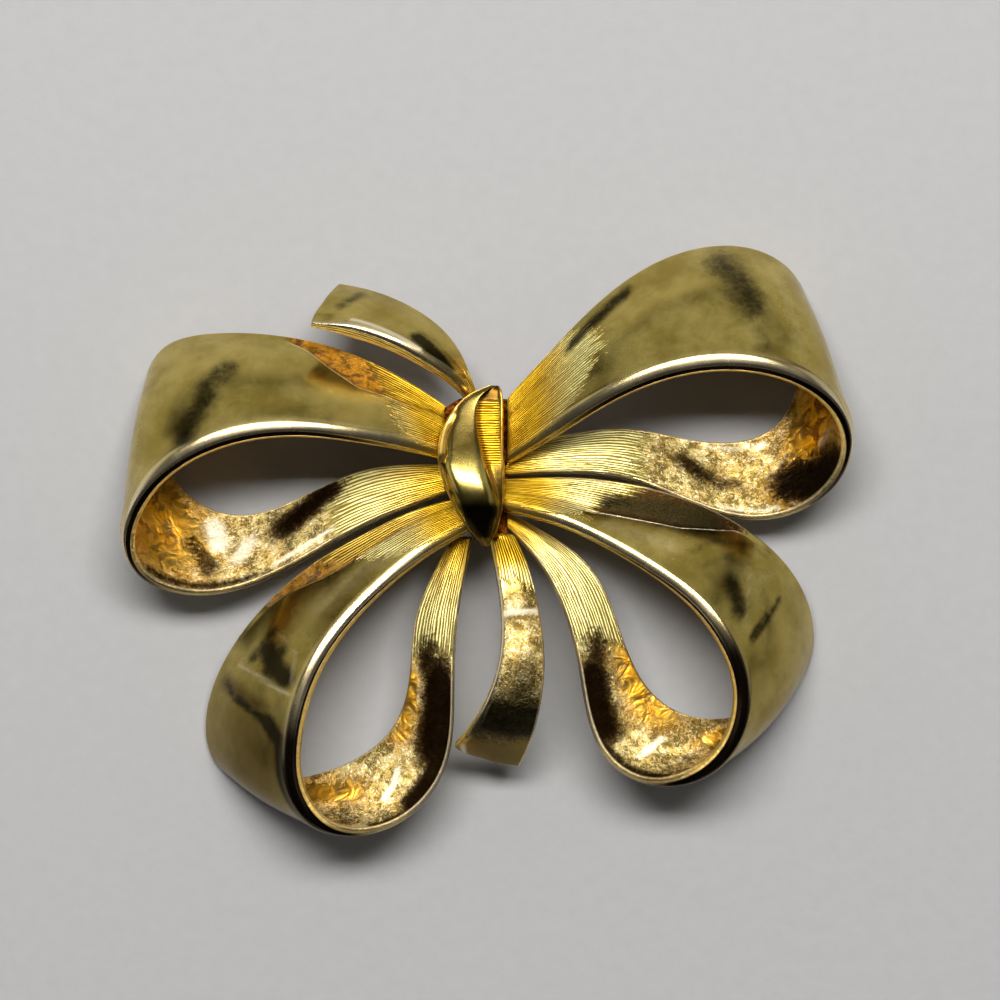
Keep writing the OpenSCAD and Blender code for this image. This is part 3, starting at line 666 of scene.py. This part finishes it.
def ribbon_rings(ribbon, brooch):
    """Sections of one ribbon, from its root at the hub to its other root or its free end."""
    found = stations(placed(ribbon, brooch), brooch.steps)
    origin = Vector((brooch.hub_x, brooch.hub_y, 0))
    fronts = [Vector(row[0:3]) for _, row in found]
    backs = [Vector(row[3:6]) for _, row in found]
    middles = [(a + b) / 2 for a, b in zip(fronts, backs)]
    last = len(found) - 1
    rim_start, rim_end = (getattr(brooch, size) for size in ribbon["rims"])
    rings, travelled = [], 0.0
    for i, (place, row) in enumerate(found):
        band = backs[i] - fronts[i]
        across = band.normalized()
        travel = (middles[min(i + 1, last)] - middles[max(i - 1, 0)]).normalized()
        if i == 0 or (i == last and len(ribbon["seats"]) > 1):
            upright = Vector((across.y, -across.x, 0)).normalized()
            travel = upright if upright.dot(travel) > 0 else -upright
        out = across.cross(travel).normalized() * ribbon["side"]
        travelled += (middles[i] - middles[max(i - 1, 0)]).length
        fold, depth = between(ribbon["folds"], place)
        ring = []
        # The rim's thickness changes between the ribbon's middle and its third quarter.
        rim = rim_start + (rim_end - rim_start) * min(1.0, max(0.0, i / last * 4 - 2))
        rim *= 1 - ribbon["tip"] * smooth(found[-1][0] - TIP_ROWS, found[-1][0], place)
        shape = section(band.length, row[6], row[7] * ribbon["crease"], fold, depth, rim,
                        ribbon["roll_turn"], ribbon["lip"], brooch)
        for x, height, face, tags in shape:
            point = origin + fronts[i] + across * x + out * height
            point.z = max(point.z, 0.0)
            ring.append((point, masks(ribbon, face, place, x / band.length, height, travelled, tags)))
        rings.append(ring)
    rings.insert(0, reached_in(rings[0], rings[1], ribbon["tucks"][0] * MM))
    if len(ribbon["seats"]) == 1:
        ahead = (middles[last] - middles[last - 1]).normalized() * END_LENGTH * MM
        return rings + rounded_end(rings[-1], ahead, END_ROUND * MM)
    return rings + [reached_in(rings[-1], rings[-2], ribbon["tucks"][1] * MM)]


KNOT_STEPS = 8
KNOT_LINES_TO_MM = 4.2


def knot_rings(brooch):
    """Sections of the knot: collar, polished dome, fold pocket with fine cross lines, thin right rim."""
    rings = []
    for _, row in stations(KNOT_ROWS, KNOT_STEPS):
        up = row[0]
        y = up * brooch.knot_half
        left, right, crest, fold = (share * brooch.knot_width for share in row[1:5])
        high, fold_high, low, rim_high = (share * brooch.knot_rise for share in row[5:9])
        ledge = hill(0.0, 0.15, 0.58, 0.74, up)
        foot = min(brooch.collar_foot * (0.42 + 1.0 * ledge), (right - left) * 0.25)
        collar = min(0.14 + 0.1 * ledge, 0.5 * row[5]) * brooch.knot_rise
        shoulder, pocket = left + foot, right - fold
        near, far = collar * 0.8, high - fold_high
        rim = right - min(brooch.rim_land, pocket * 0.3) * 0.5
        turn = [math.pi / 2 * k / 10 for k in range(11)]
        points = [(left, 0.0, "side"), (left, near, "collar"), (left + foot * 0.1, collar, "collar"),
                  (left + foot * 0.88, collar, "collar")]
        points += [(crest - (crest - shoulder) * math.cos(a) ** 0.5,
                    near + (high - near) * math.sin(a) ** 0.6, "dome") for a in turn]
        points += [(crest + (fold - crest) * math.sin(a) ** 0.8,
                    fold_high + far * math.cos(a) ** 0.75, "dome") for a in turn[2:]]
        points += [(fold + pocket * share, fold_high + (low - fold_high) * fall, "pocket")
                   for share, fall in ((0.03, 0.3), (0.09, 0.8), (0.2, 1.0), (0.5, 1.0), (0.8, 0.96))]
        points += [(rim, rim_high, "rim"), (rim * 0.4 + right * 0.6, rim_high, "rim"),
                   (right, rim_high * 0.8, "rim"), (right, 0.0, "side")]
        points += [(right + (left - right) * k / 6, 0.0, "side") for k in range(1, 6)]
        lines = hill(-0.04, 0.04, 0.76, 0.88, up)
        # Painted dark reflection: the dome's lower part is painted black where it faces the dark front of
        # the room.
        black = hill(0.32, 0.60, 0.84, 0.95, -up)
        # Painted shade: the dome's top and the stretch below its highlight are darkened towards umber; the
        # pocket's top and the rim's upper end are darkened too.
        darkened = 0.66 * smooth(-0.02, 0.22, up) + 0.4 * smooth(0.16, 0.34, -up)
        # Columns: lines, warmth, painted black, darkening towards umber, roll.
        looks = {  # lines, warmth, black, dull, roll
            "side": (0, 0.9, 0, 0, 0),
            "collar": (0, 0.85, 0, 0, 0.75),
            "dome": (0, 0, black, darkened, 0),
            "pocket": (lines, 0.4 + 0.6 * lines, 0, 0.92 * smooth(0.72, 0.86, up), 0),
            "rim": (0, 1, 0, 0.55 * smooth(-0.05, 0.1, up), 0.3),
        }
        ring = []
        for x, z, part in points:
            engraved, warm, pitch, brown, roll = looks[part]
            ring.append((Vector((brooch.hub_x + x, brooch.hub_y + y, brooch.knot_base + z)), {
                "finish": (engraved, 0, warm),
                "patches": (pitch * smooth(0.2, 0.6, z / max(high, 0.1 * MM)), 0, brown),
                "edges": (roll, 0, 0),
                "band": (x / MM, y / MM * KNOT_LINES_TO_MM, FACE_MARK),
            }))
        rings.append(ring)
    return rings


class Value:
    """A number in a material, read from a socket. Sums and products with it work as with a plain number."""

    def __init__(self, finish, socket):
        self.finish = finish
        self.socket = socket

    def math(self, operation, first, second):
        node = self.finish.node("Math", {"operation": operation}, {0: first, 1: second})
        return Value(self.finish, node.outputs[0])

    def sine(self):
        return self.math("SINE", self, 0.0)

    def distance(self, other):
        return self.math("ABSOLUTE", self - other, 0.0)

    def __add__(self, other):
        return self.math("ADD", self, other)

    def __sub__(self, other):
        return self.math("SUBTRACT", self, other)

    def __rsub__(self, other):
        return self.math("SUBTRACT", other, self)

    def __mul__(self, other):
        return self.math("MULTIPLY", self, other)

    __radd__ = __add__
    __rmul__ = __mul__


class Finish:
    """A material being made, with the few kinds of node that the finishes here need."""

    def __init__(self, name):
        self.material = bpy.data.materials.new(name)
        self.material.use_nodes = True
        self.tree = self.material.node_tree
        self.shader = self.tree.nodes["Principled BSDF"]
        self.place = self.node("TexCoord", {}, {}).outputs["Object"]

    def node(self, kind, settings, sockets):
        """A node of that kind: settings first, then its sockets' values or links."""
        node = self.tree.nodes.new("ShaderNode" + kind)
        for key, value in settings.items():
            setattr(node, key, value)
        for key, value in sockets.items():
            self.feed(node.inputs[key], value)
        return node

    def feed(self, socket, value):
        """Links a value to a socket, or sets it there."""
        if isinstance(value, Value):
            value = value.socket
        if isinstance(value, bpy.types.NodeSocket):
            self.tree.links.new(value, socket)
        else:
            socket.default_value = value

    def split(self, vector):
        """The three numbers of a vector."""
        node = self.node("SeparateXYZ", {}, {0: vector})
        return [Value(self, socket) for socket in node.outputs]

    def attribute(self, name):
        """The three numbers of a vector attribute."""
        node = self.node("Attribute", {"attribute_name": name}, {})
        return self.split(node.outputs["Vector"])

    def noise(self, vector, scale, detail=2.0, rough=0.5, curl=0.0):
        """Soft noise; with the object's own place as vector, scale is in lumps to a metre."""
        sockets = {
            "Vector": vector, "Scale": scale, "Detail": detail, "Roughness": rough, "Distortion": curl}
        return Value(self, self.node("TexNoise", {}, sockets).outputs["Fac"])

    def step(self, value, low, high):
        """0 below low, 1 above high and a soft step between them."""
        settings = {"interpolation_type": "SMOOTHSTEP"}
        sockets = {"Value": value, "From Min": low, "From Max": high}
        return Value(self, self.node("MapRange", settings, sockets).outputs["Result"])

    def vector(self, x, y, z):
        return self.node("CombineXYZ", {}, {0: x, 1: y, 2: z}).outputs[0]

    def mix(self, factor, first, second):
        """Colour between first and second."""
        sockets = {0: factor, 6: first, 7: second}
        return self.node("Mix", {"data_type": "RGBA"}, sockets).outputs[2]

    def bump(self, height, distance):
        """Normals of a surface whose height, from 0 to 1, spans that distance in metres."""
        return self.node("Bump", {}, {"Height": height, "Distance": distance}).outputs["Normal"]

    def set(self, **sockets):
        """Sockets of the shader, with spaces written as underscores."""
        for key, value in sockets.items():
            self.feed(self.shader.inputs[key.replace("_", " ")], value)
        return self.material


def gilt_casting(colours):
    """Gilt casting: clouded polish, engraved lines, sand-cast hollows, amber pockets painted as
    reflections, painted highlights, and painted dark reflections and shade.
    """
    finish = Finish("gilt_casting")
    noise, step, mix, vector, place = finish.noise, finish.step, finish.mix, finish.vector, finish.place
    lines, grain, warm = finish.attribute("finish")
    dark, light, brown = finish.attribute("patches")
    roll, shadow, crest = finish.attribute("edges")
    along, across, side = finish.attribute("band")
    inside = 1 - side * (1 / FACE_MARK)

    # Noises of several sizes, and the patterns made from them.
    coarse = noise(place, 700, 3, 0.6)
    fine = noise(place, 1700, 4, 0.65, 0.8)
    grit = noise(place, 5200, 2, 0.6)
    dapple = noise(place, 260, 3, 0.55) * 0.72 + fine * 0.16 + grit * 0.12
    cloud = step(dapple, 0.34, 0.66)
    curls = noise(place, 1500, 1, 0.5, 1.6)
    waver = noise(vector(along * 0.16, across * 0.3, side), 1.0, 2.0)
    streak = noise(vector(along * 0.40, across * 1.9, side), 1.0, 3.0, 0.6)
    broken = noise(vector(along * 0.30, across * 1.3, side + 20), 1.0, 3.0, 0.7)
    furrow = (across * math.tau + waver * 9.0).sine()
    ridge = step(furrow * 0.36 + streak * 1.5 - 0.25, 0.26, 0.66)
    lined = step(lines + (broken - 0.5) * 1.5, 0.35, 0.62)
    sandy = step(grain + (fine - 0.5) * 0.6, 0.35, 0.65)
    crinkle = step(1 - curls.distance(0.5) * 16, 0.15, 0.85)
    mottle = step(fine * 0.45 + coarse * 0.60 + (grit - 0.5) * 0.30, 0.44, 0.62)
    # Pale glints painted on the sand texture, more of them under the light strokes.
    glint = step(fine * 0.5 + grit * 0.4 + coarse * 0.6 + light * 0.08, 0.83, 0.93)
    lump = noise(place, 620, 2, 0.5, 1.2)
    ember = step(coarse + (broken - 0.5) * 0.5, 0.46, 0.62)
    # Masks of the dark strokes: painted dark reflections on the outer faces, painted shade inside the
    # loops.
    ragged = (fine - 0.5) * (0.45 + inside * 0.5) + (coarse - 0.5) * 0.35
    smudge = step(dark + ragged, 0.18, 0.80)
    painted_inner_shade = step(dark + (fine - 0.5) * 1.1, 0.12, 0.55)
    # Mask of the light strokes, which are painted highlights.
    stroke = step(light + (fine - 0.5) * 0.3, 0.25, 0.80)

    # Colours: the clouded polish, and what is laid over it from the bottom up.
    sand = mix(mottle, colours.fleck_dark, mix(cloud * 0.26, colours.fleck_gold, colours.amber))
    sand = mix(crinkle * (0.30 + mottle * 0.45), sand, colours.fleck_pale)
    # Painted amber reflection of one ribbon in another, with darker hollows.
    glow = mix(step(lump + (fine - 0.5) * 0.3, 0.38, 0.56), colours.amber_deep, colours.amber)
    groove = mix(warm, colours.groove, colours.root_groove)
    line = mix(warm, colours.crest, mix(ember * 0.16, colours.root_crest, colours.amber_deep))
    colour = mix(cloud, colours.olive_deep, colours.olive_pale)
    for factor, layer in (
            (sandy, mix(glint, sand, colours.fleck_pale)),
            # Painted amber reflections in the pockets, on the facets and on the warm strokes.
            (warm * (1 - lined) * (0.62 + mottle * 0.36), glow),
            (brown * (1 - crinkle * sandy * 0.08), colours.umber),
            (lined, mix(ridge, groove, line)),
            # Painted shade: the dark strokes inside the loops turn umber.
            (painted_inner_shade * inside * 0.9, colours.umber),
            # Painted dark reflections, near black, on the outer faces and the knot, and painted shade
            # inside the loops.
            (smudge * 0.96, mix(inside, colours.smudge, colours.pitch)),
            # Painted highlights on the light strokes.
            (stroke * light, colours.shine),
            # Paler rolls, partly a painted highlight.
            (roll, mix(warm * 0.8, colours.rim, colours.root_crest)),
            # Painted highlights on the crest line where the polished face ends and on the bright lip.
            (crest * (0.75 + crinkle * 0.25), mix(warm, colours.shine, colours.root_crest)),
            # Painted shade on the flat edges and on the dark stretches of the rolls.
            (shadow, colours.shadow)):
        colour = mix(factor, colour, layer)

    # Relief, and how matt each layer is.
    pocket = warm * inside * (1 - lined)
    height = lined * ridge + sandy * (fine * 0.5 + crinkle * 0.25 + grit * 0.25) + fine * 0.05
    height = height + pocket * lump * 4.0
    rough = 0.20 + cloud * 0.06 + sandy * (0.26 - glint * 0.12) + lined * 0.26 + roll * 0.03
    rough = rough + warm * (1 - lined) * 0.06 + light * (1 - inside) * 0.22 + pocket * 0.16
    return finish.set(
        Base_Color=colour, Metallic=1 - pocket * 0.06, Roughness=rough,
        Normal=finish.bump(height, 0.06 * MM))


def cast_shade(colours):
    """Rough gilt down between the pieces, painted dark and reddish as painted shade, darker in its hollows.
    """
    finish = Finish("cast_shade")
    lumps = finish.noise(finish.place, 1500, 4, 0.6)
    colour = finish.mix(finish.step(lumps, 0.42, 0.66), colours.hollow_dark, colours.hollow_gold)
    grit = finish.noise(finish.place, 6000, 2)
    return finish.set(
        Base_Color=colour, Metallic=1.0, Roughness=0.3 + lumps * 0.2, Normal=finish.bump(grit, 0.03 * MM))


def brushed_pin(colours):
    """Pale gilt metal of the back bar and pin, brushed along its length."""
    finish = Finish("brushed_pin")
    x, y, z = finish.split(finish.place)
    brushed = finish.noise(finish.vector(x * 250, y * 9000, z * 9000), 1.0, 3.0)
    worn = finish.step(finish.noise(finish.place, 420, 3), 0.35, 0.7)
    colour = finish.mix(worn, colours.pin_worn, colours.pin_pale)
    return finish.set(
        Base_Color=colour, Metallic=1.0, Roughness=0.26 + brushed * 0.16,
        Normal=finish.bump(brushed, 0.012 * MM))


def table_top(colours):
    """Plain pale floor with a faint tooth."""
    finish = Finish("table_top")
    tooth = finish.noise(finish.place, 700, 3)
    colour = finish.mix(tooth, colours.floor_deep, colours.floor_pale)
    return finish.set(Base_Color=colour, Roughness=0.85, Normal=finish.bump(tooth, 0.04 * MM))


def shared(make):
    """The material that make builds, made once and then used again."""
    return bpy.data.materials.get(make.__name__) or make(bpy.context.scene.brooch_colours)


def dress(piece, make, *nodes):
    """Gives a new piece its material and its place in the frame, where it stands for CAD nodes."""
    piece.data.materials.append(shared(make))
    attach(piece, "root")
    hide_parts(*nodes)


def build_ribbon(name, brooch):
    piece = swept(name + "_ribbon", ribbon_rings(RIBBONS[name], brooch))
    dress(piece, gilt_casting, name)


class BROOCH_OT_loops(bpy.types.Operator):
    """Models the four flared ribbon loops"""

    bl_idname = "brooch.loops"
    bl_label = "Loops"

    def execute(self, context):
        for name in ("upper_left_loop", "upper_right_loop", "lower_left_loop", "lower_right_loop"):
            build_ribbon(name, context.scene.brooch)
        return {"FINISHED"}


class BROOCH_OT_tails(bpy.types.Operator):
    """Models the two free ribbon ends"""

    bl_idname = "brooch.tails"
    bl_label = "Tails"

    def execute(self, context):
        for name in ("upper_tail", "lower_tail"):
            build_ribbon(name, context.scene.brooch)
        return {"FINISHED"}


class BROOCH_OT_knot(bpy.types.Operator):
    """Models the marquise knot with its collar and fold pocket"""

    bl_idname = "brooch.knot"
    bl_label = "Knot"

    def execute(self, context):
        piece = swept("knot_dome", knot_rings(context.scene.brooch))
        dress(piece, gilt_casting, "knot")
        return {"FINISHED"}


class BROOCH_OT_back(bpy.types.Operator):
    """Gives the hub its painted shade and the bar pin its finish, and softens their edges"""

    bl_idname = "brooch.back"
    bl_label = "Hub and pin"

    def execute(self, context):
        for name, make in (("hub", cast_shade), ("bar_pin", brushed_pin)):
            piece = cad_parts[name]
            piece.data.materials.clear()
            piece.data.materials.append(shared(make))
            weld = piece.modifiers.new("Weld", "WELD")
            weld.merge_threshold = SAME_PLACE
            soften = piece.modifiers.new("Soften", "BEVEL")
            soften.width = context.scene.brooch.back_bevel
            soften.segments = 2
            soften.limit_method = "ANGLE"
        return {"FINISHED"}


class BROOCH_OT_stage(bpy.types.Operator):
    """Lays the pale floor and sets the lights and the camera"""

    bl_idname = "brooch.stage"
    bl_label = "Stage"

    def execute(self, context):
        build_floor()
        build_lights()
        build_camera()
        return {"FINISHED"}


FLOOR_HALF = 0.8
FLOOR_GAP = 0.00005


def build_floor():
    bm = bmesh.new()
    bmesh.ops.create_grid(bm, x_segments=8, y_segments=8, size=FLOOR_HALF)
    mesh = bpy.data.meshes.new("floor")
    bm.to_mesh(mesh)
    bm.free()
    floor = added("floor", mesh)
    floor.location.z = -FLOOR_GAP
    floor.data.materials.append(shared(table_top))


def softbox(name, place, width, depth, watts, colour):
    """Rectangular light that faces the brooch."""
    light = bpy.data.lights.new(name, "AREA")
    light.shape = "RECTANGLE"
    light.size = width
    light.size_y = depth
    light.energy = watts
    light.color = colour
    lamp = added(name, light)
    lamp.location = place
    lamp.rotation_euler = (-Vector(place)).to_track_quat("-Z", "Y").to_euler()


def build_lights():
    softbox("key", (0.0, 0.29, 0.58), 0.60, 0.18, 6.0, (1.0, 0.98, 0.95))
    softbox("back_wall", (0.0, 0.80, 0.30), 1.40, 0.50, 1.0, (1.0, 1.0, 1.0))
    softbox("left_wall", (-0.80, 0.15, 0.30), 0.90, 0.50, 1.0, (0.97, 0.98, 1.0))
    softbox("right_wall", (0.80, 0.15, 0.30), 0.90, 0.50, 0.7, (0.97, 0.98, 1.0))
    world = bpy.data.worlds.new("room")
    world.use_nodes = True
    background = world.node_tree.nodes["Background"]
    background.inputs["Color"].default_value = (0.85, 0.88, 0.92, 1)
    background.inputs["Strength"].default_value = 0.035
    scene = bpy.context.scene
    scene.world = world
    scene.view_settings.view_transform = "Standard"


def build_camera():
    """Straight down over the brooch, as the photograph is taken."""
    camera = bpy.data.cameras.new("camera")
    camera.sensor_width = 36
    camera.lens = 166.2
    camera.clip_start = 0.01
    camera.clip_end = 10
    view = added("camera", camera)
    view.location = (1.2 * MM, 3.78 * MM, 450 * MM)
    bpy.context.scene.camera = view


OPERATORS = (BROOCH_OT_loops, BROOCH_OT_tails, BROOCH_OT_knot, BROOCH_OT_back, BROOCH_OT_stage)


class BROOCH_PT_panel(bpy.types.Panel):
    """Lists the brooch's parts in the sidebar"""

    bl_label = "Bow brooch"
    bl_idname = "BROOCH_PT_panel"
    bl_space_type = "VIEW_3D"
    bl_region_type = "UI"
    bl_category = "Brooch"

    def draw(self, context):
        for operator in OPERATORS:
            self.layout.operator(operator.bl_idname)


def register():
    for cls in (BroochSettings, BroochColours, *OPERATORS, BROOCH_PT_panel):
        bpy.utils.register_class(cls)
    bpy.types.Scene.brooch = PointerProperty(type=BroochSettings)
    bpy.types.Scene.brooch_colours = PointerProperty(type=BroochColours)


def unregister():
    del bpy.types.Scene.brooch_colours
    del bpy.types.Scene.brooch
    for cls in (BROOCH_PT_panel, *reversed(OPERATORS), BroochColours, BroochSettings):
        bpy.utils.unregister_class(cls)


def main():
    register()
    for operator in OPERATORS:
        group, name = operator.bl_idname.split(".")
        getattr(getattr(bpy.ops, group), name)()


if __name__ == "__main__":
    main()
